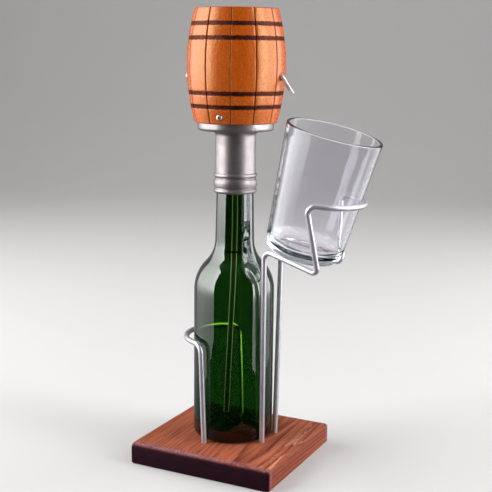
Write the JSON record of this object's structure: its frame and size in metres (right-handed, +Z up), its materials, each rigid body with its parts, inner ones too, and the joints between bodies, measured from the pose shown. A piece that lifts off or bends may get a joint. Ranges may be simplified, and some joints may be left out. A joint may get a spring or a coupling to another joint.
{
  "type": "cask bottle dispenser",
  "caption": "Push-down liquor pump with a wooden cask head on a bottle, on a wooden base whose wire cradle holds a tilted tumbler under the spout.",
  "frame": {"origin": "on the bottle's axis, at the underside of the base board", "axes": "+Z up along the bottle's axis, +X from the bottle towards the tumbler, +Y to the left of someone facing +X"},
  "size_m": [0.1678, 0.111, 0.3366],
  "materials": {
    "stained_board": "brushed softwood, dark red-brown stain",
    "polished_wire": "polished",
    "green_glass": "dark green, clear gloss",
    "clear_glass": "clear gloss",
    "black_rubber": "matte",
    "pump_plastic": "satin",
    "tube_plastic": "translucent",
    "pump_steel": "ground",
    "bright_steel": "polished",
    "satin_metal": "satin, turned",
    "varnished_oak": "glossy varnish, burnt bands and grooves"
  },
  "bodies": {
    "stand": {"base_board": "stained_board", "bottle_hoop": "polished_wire", "glass_cradle": "polished_wire"},
    "bottle": {"bottle": "green_glass"},
    "pump_body": {"rubber_stopper": "black_rubber", "pump_cylinder": "pump_plastic", "inlet_retainer": "pump_plastic", "dip_tube": "tube_plastic", "gland_washer": "black_rubber", "gland_cap": "pump_plastic"},
    "inlet_ball": {"inlet_ball": "pump_steel"},
    "plunger": {"pump_stem": "pump_steel", "stem_collar": "pump_steel", "piston": "pump_plastic", "piston_cup": "black_rubber", "return_spring": "pump_steel"},
    "outlet_ball": {"outlet_ball": "pump_steel"},
    "head": {"barrel": "varnished_oak", "cask_head": "varnished_oak", "flanged_sleeve": "satin_metal", "outlet_carrier": "pump_plastic", "carrier_o_ring": "black_rubber", "spout": "bright_steel", "flange_screws": "bright_steel", "carrier_screw": "bright_steel"},
    "tumbler": {"tumbler": "clear_glass"}
  },
  "joints": [
    {"name": "bottle_lift", "type": "slide", "parent": "stand", "child": "bottle", "axis": [0, 0, 1], "range_m": [0, 0.03]},
    {"name": "pump_lift", "type": "slide", "parent": "bottle", "child": "pump_body", "axis": [0, 0, 1], "range_m": [0, 0.22]},
    {"name": "pump_stroke", "type": "slide", "parent": "pump_body", "child": "plunger", "axis": [0, 0, -1], "range_m": [0, 0.012], "stiffness_N_per_m": 400, "springref_m": -0.02, "deforming": ["return_spring"]},
    {"name": "head_swivel", "type": "hinge", "parent": "plunger", "child": "head", "pos_m": [0, 0, 0.28], "axis": [0, 0, 1], "continuous": true},
    {"name": "inlet_ball_lift", "type": "slide", "parent": "pump_body", "child": "inlet_ball", "axis": [0, 0, 1], "range_m": [0, 0.0012]},
    {"name": "outlet_ball_lift", "type": "slide", "parent": "plunger", "child": "outlet_ball", "axis": [0, 0, 1], "range_m": [0, 0.0012]},
    {"name": "tumbler_lift", "type": "slide", "parent": "stand", "child": "tumbler", "axis": [0.309, 0, 0.9511], "range_m": [0, 0.13]}
  ]
}
